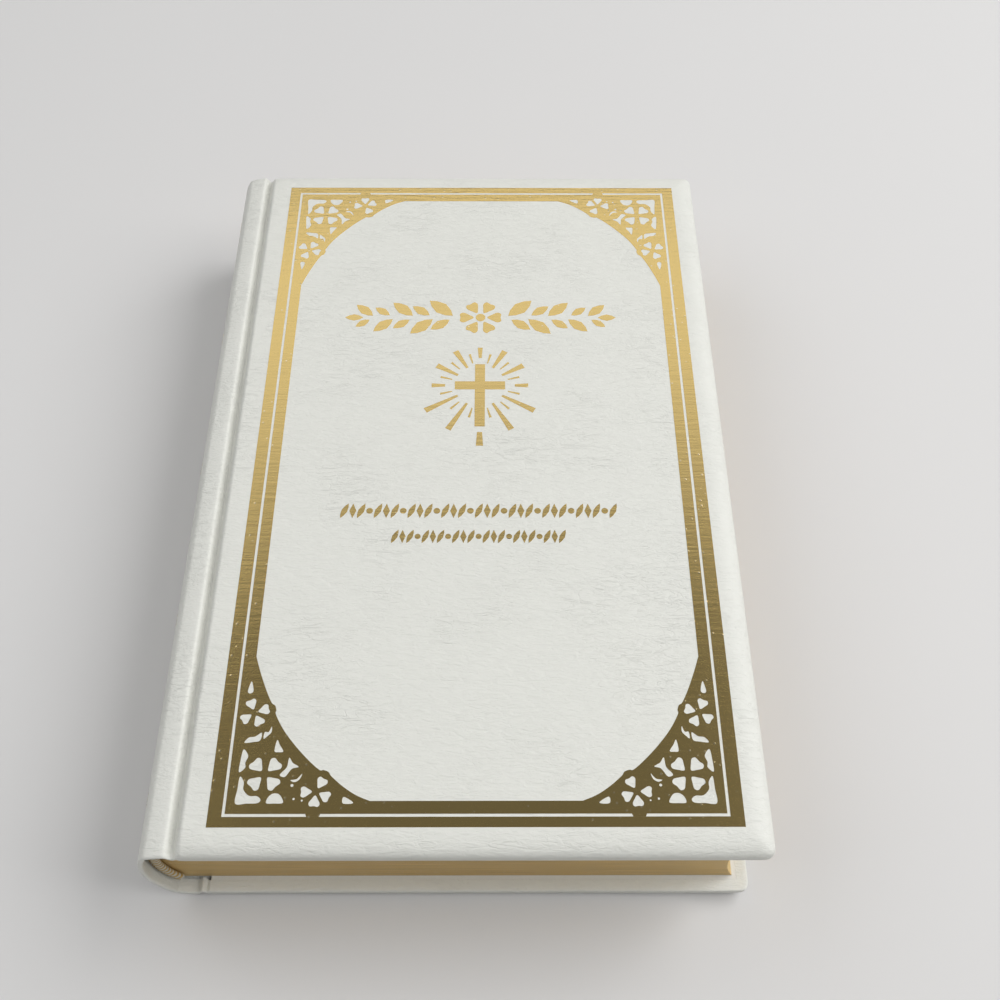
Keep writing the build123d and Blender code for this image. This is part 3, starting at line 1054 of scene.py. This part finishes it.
class BIBLE_OT_spine_foil(bpy.types.Operator):
    """Pairs of gold rules across the spine with a row of lozenges between them"""
    bl_idname = "bible.spine_foil"
    bl_label = "Spine foil"

    def execute(self, context):
        half_angle, rule_offset, rule_width, lozenge_half = radians(17.0), 1.45 * MM, 0.4 * MM, 0.85 * MM
        whole = bmesh.new()
        for band in range(5):
            middle = mix(-1, 1, band / 4) * (SPINE_FOIL_HIGH.y - rule_offset - rule_width / 2)
            for way in (-1, 1):
                strip = bmesh.ops.create_grid(whole, x_segments=36, y_segments=1, size=0.5)["verts"]
                for vertex in strip:
                    vertex.co = (vertex.co.x * 2 * half_angle,
                                 middle + way * rule_offset + vertex.co.y * rule_width, 0)
            for index in range(-4, 5):
                diamond = bmesh.ops.create_grid(whole, x_segments=3, y_segments=3, size=0.5)["verts"]
                for vertex in diamond:
                    x, y = vertex.co.x, vertex.co.y
                    vertex.co = ((x - y) * lozenge_half / SPINE_RADIUS + index * radians(3.8),
                                 middle + (x + y) * lozenge_half, 0)
        for vertex in whole.verts:
            vertex.co = around_spine(vertex.co.x, vertex.co.y, SPINE_RADIUS + 0.006 * MM)
        face_outwards(whole)
        bmesh.ops.solidify(whole, geom=whole.faces[:], thickness=-0.035 * MM)
        seal(whole)
        finished(whole, "spine_rules", [gold_foil()], ("spine",), ("spine_foil",))
        return {"FINISHED"}


class BIBLE_OT_stage(bpy.types.Operator):
    """Pale floor, soft studio lights and the camera"""
    bl_idname = "bible.stage"
    bl_label = "Stage"

    def execute(self, context):
        scene, sizes = context.scene, context.scene.bible_stage
        mesh = bmesh.new()
        bmesh.ops.create_grid(mesh, x_segments=8, y_segments=8, size=3.0)
        data = bpy.data.meshes.new("floor")
        mesh.to_mesh(data)
        mesh.free()
        data.materials.append(pale_floor())
        floor = bpy.data.objects.new("floor", data)
        floor.location.z = -0.0002
        scene.collection.objects.link(floor)

        scene.view_settings.view_transform = "Standard"
        world = bpy.data.worlds.new("studio")
        world.use_nodes = True
        sky = world.node_tree.nodes["Background"].inputs
        sky["Color"].default_value = (0.93, 0.96, 1.0, 1)
        sky["Strength"].default_value = sizes.ambient
        scene.world = world

        target = Vector((FRAME_X, 0, THICKNESS))
        # name, azimuth and elevation in degrees, distance, width, depth, tilt in degrees, watts
        lamps = [("key", 79, 44, 1.6, 1.6, 1.1, 0, sizes.key),
                 ("fill", -79, 46, 1.6, 1.6, 1.1, 0, sizes.fill),
                 ("overhead", 180, 74, 1.5, 1.0, 0.7, 0, sizes.overhead),
                 ("near", 176, 42, 1.2, 1.0, 0.6, 0, sizes.near)]
        lamps += [(f"window_{index}", 0.5, 41.4 + 4.5 * index, 3.0, 7.2, 0.236, 3, share * sizes.window)
                  for index, share in enumerate((1.0, 1.0, 0.90, 0.68, 0.38, 0.13))]
        for name, azimuth, elevation, distance, width, depth, tilt, power in lamps:
            lamp = bpy.data.lights.new(name, "AREA")
            lamp.shape, lamp.size, lamp.size_y, lamp.energy = "RECTANGLE", width, depth, power
            holder = bpy.data.objects.new(name, lamp)
            bearing, height = radians(azimuth), radians(elevation)
            way = Vector((sin(bearing) * cos(height), cos(bearing) * cos(height), sin(height)))
            aim = way.to_track_quat("Z", "Y").to_matrix().to_4x4()
            holder.matrix_world = (Matrix.Translation(target + way * distance) @ aim
                                   @ Matrix.Rotation(radians(tilt), 4, "Z"))
            scene.collection.objects.link(holder)

        down, bearing, roll = radians(58.347), radians(0.52), radians(0.445)
        forward = Vector((sin(bearing) * cos(down), cos(bearing) * cos(down), -sin(down)))
        right = forward.cross(Vector((0, 0, 1))).normalized()
        up = right.cross(forward)
        right, up = cos(roll) * right + sin(roll) * up, cos(roll) * up - sin(roll) * right
        data = bpy.data.cameras.new("camera")
        data.lens, data.sensor_width = sizes.lens, 36.0
        data.clip_start, data.clip_end = 0.01, 20.0
        camera = bpy.data.objects.new("camera", data)
        camera.matrix_world = Matrix((right, up, -forward)).transposed().to_4x4()
        camera.location = (FRAME_X + 4.385 * MM, -181.0 * MM, FOIL_TOP + 267.18 * MM)
        scene.collection.objects.link(camera)
        scene.camera = camera
        return {"FINISHED"}


OPERATORS = (BIBLE_OT_casing, BIBLE_OT_pads, BIBLE_OT_inner_layers, BIBLE_OT_endpapers,
             BIBLE_OT_pages, BIBLE_OT_headbands, BIBLE_OT_cover_foil, BIBLE_OT_spine_foil,
             BIBLE_OT_stage)
GROUPS = {"bible_casing": CasingSizes, "bible_pages": PageSizes, "bible_colours": FinishColours,
          "bible_stage": StageSizes}


class BIBLE_PT_panel(bpy.types.Panel):
    """Sizes, colours and pieces of the bible"""
    bl_label = "Padded bible"
    bl_idname = "BIBLE_PT_panel"
    bl_space_type = "VIEW_3D"
    bl_region_type = "UI"
    bl_category = "Bible"

    def draw(self, context):
        for name, group in GROUPS.items():
            box = self.layout.box()
            for prop in group.__annotations__:
                box.prop(getattr(context.scene, name), prop)
        for operator in OPERATORS:
            self.layout.operator(operator.bl_idname)


def register():
    for group in (*GROUPS.values(), *OPERATORS, BIBLE_PT_panel):
        bpy.utils.register_class(group)
    for name, group in GROUPS.items():
        setattr(bpy.types.Scene, name, PointerProperty(type=group))


def unregister():
    for name in GROUPS:
        delattr(bpy.types.Scene, name)
    for group in (BIBLE_PT_panel, *reversed(OPERATORS), *GROUPS.values()):
        bpy.utils.unregister_class(group)


def main():
    register()
    for operator in OPERATORS:
        family, name = operator.bl_idname.split(".")
        getattr(getattr(bpy.ops, family), name)()


if __name__ == "__main__":
    main()
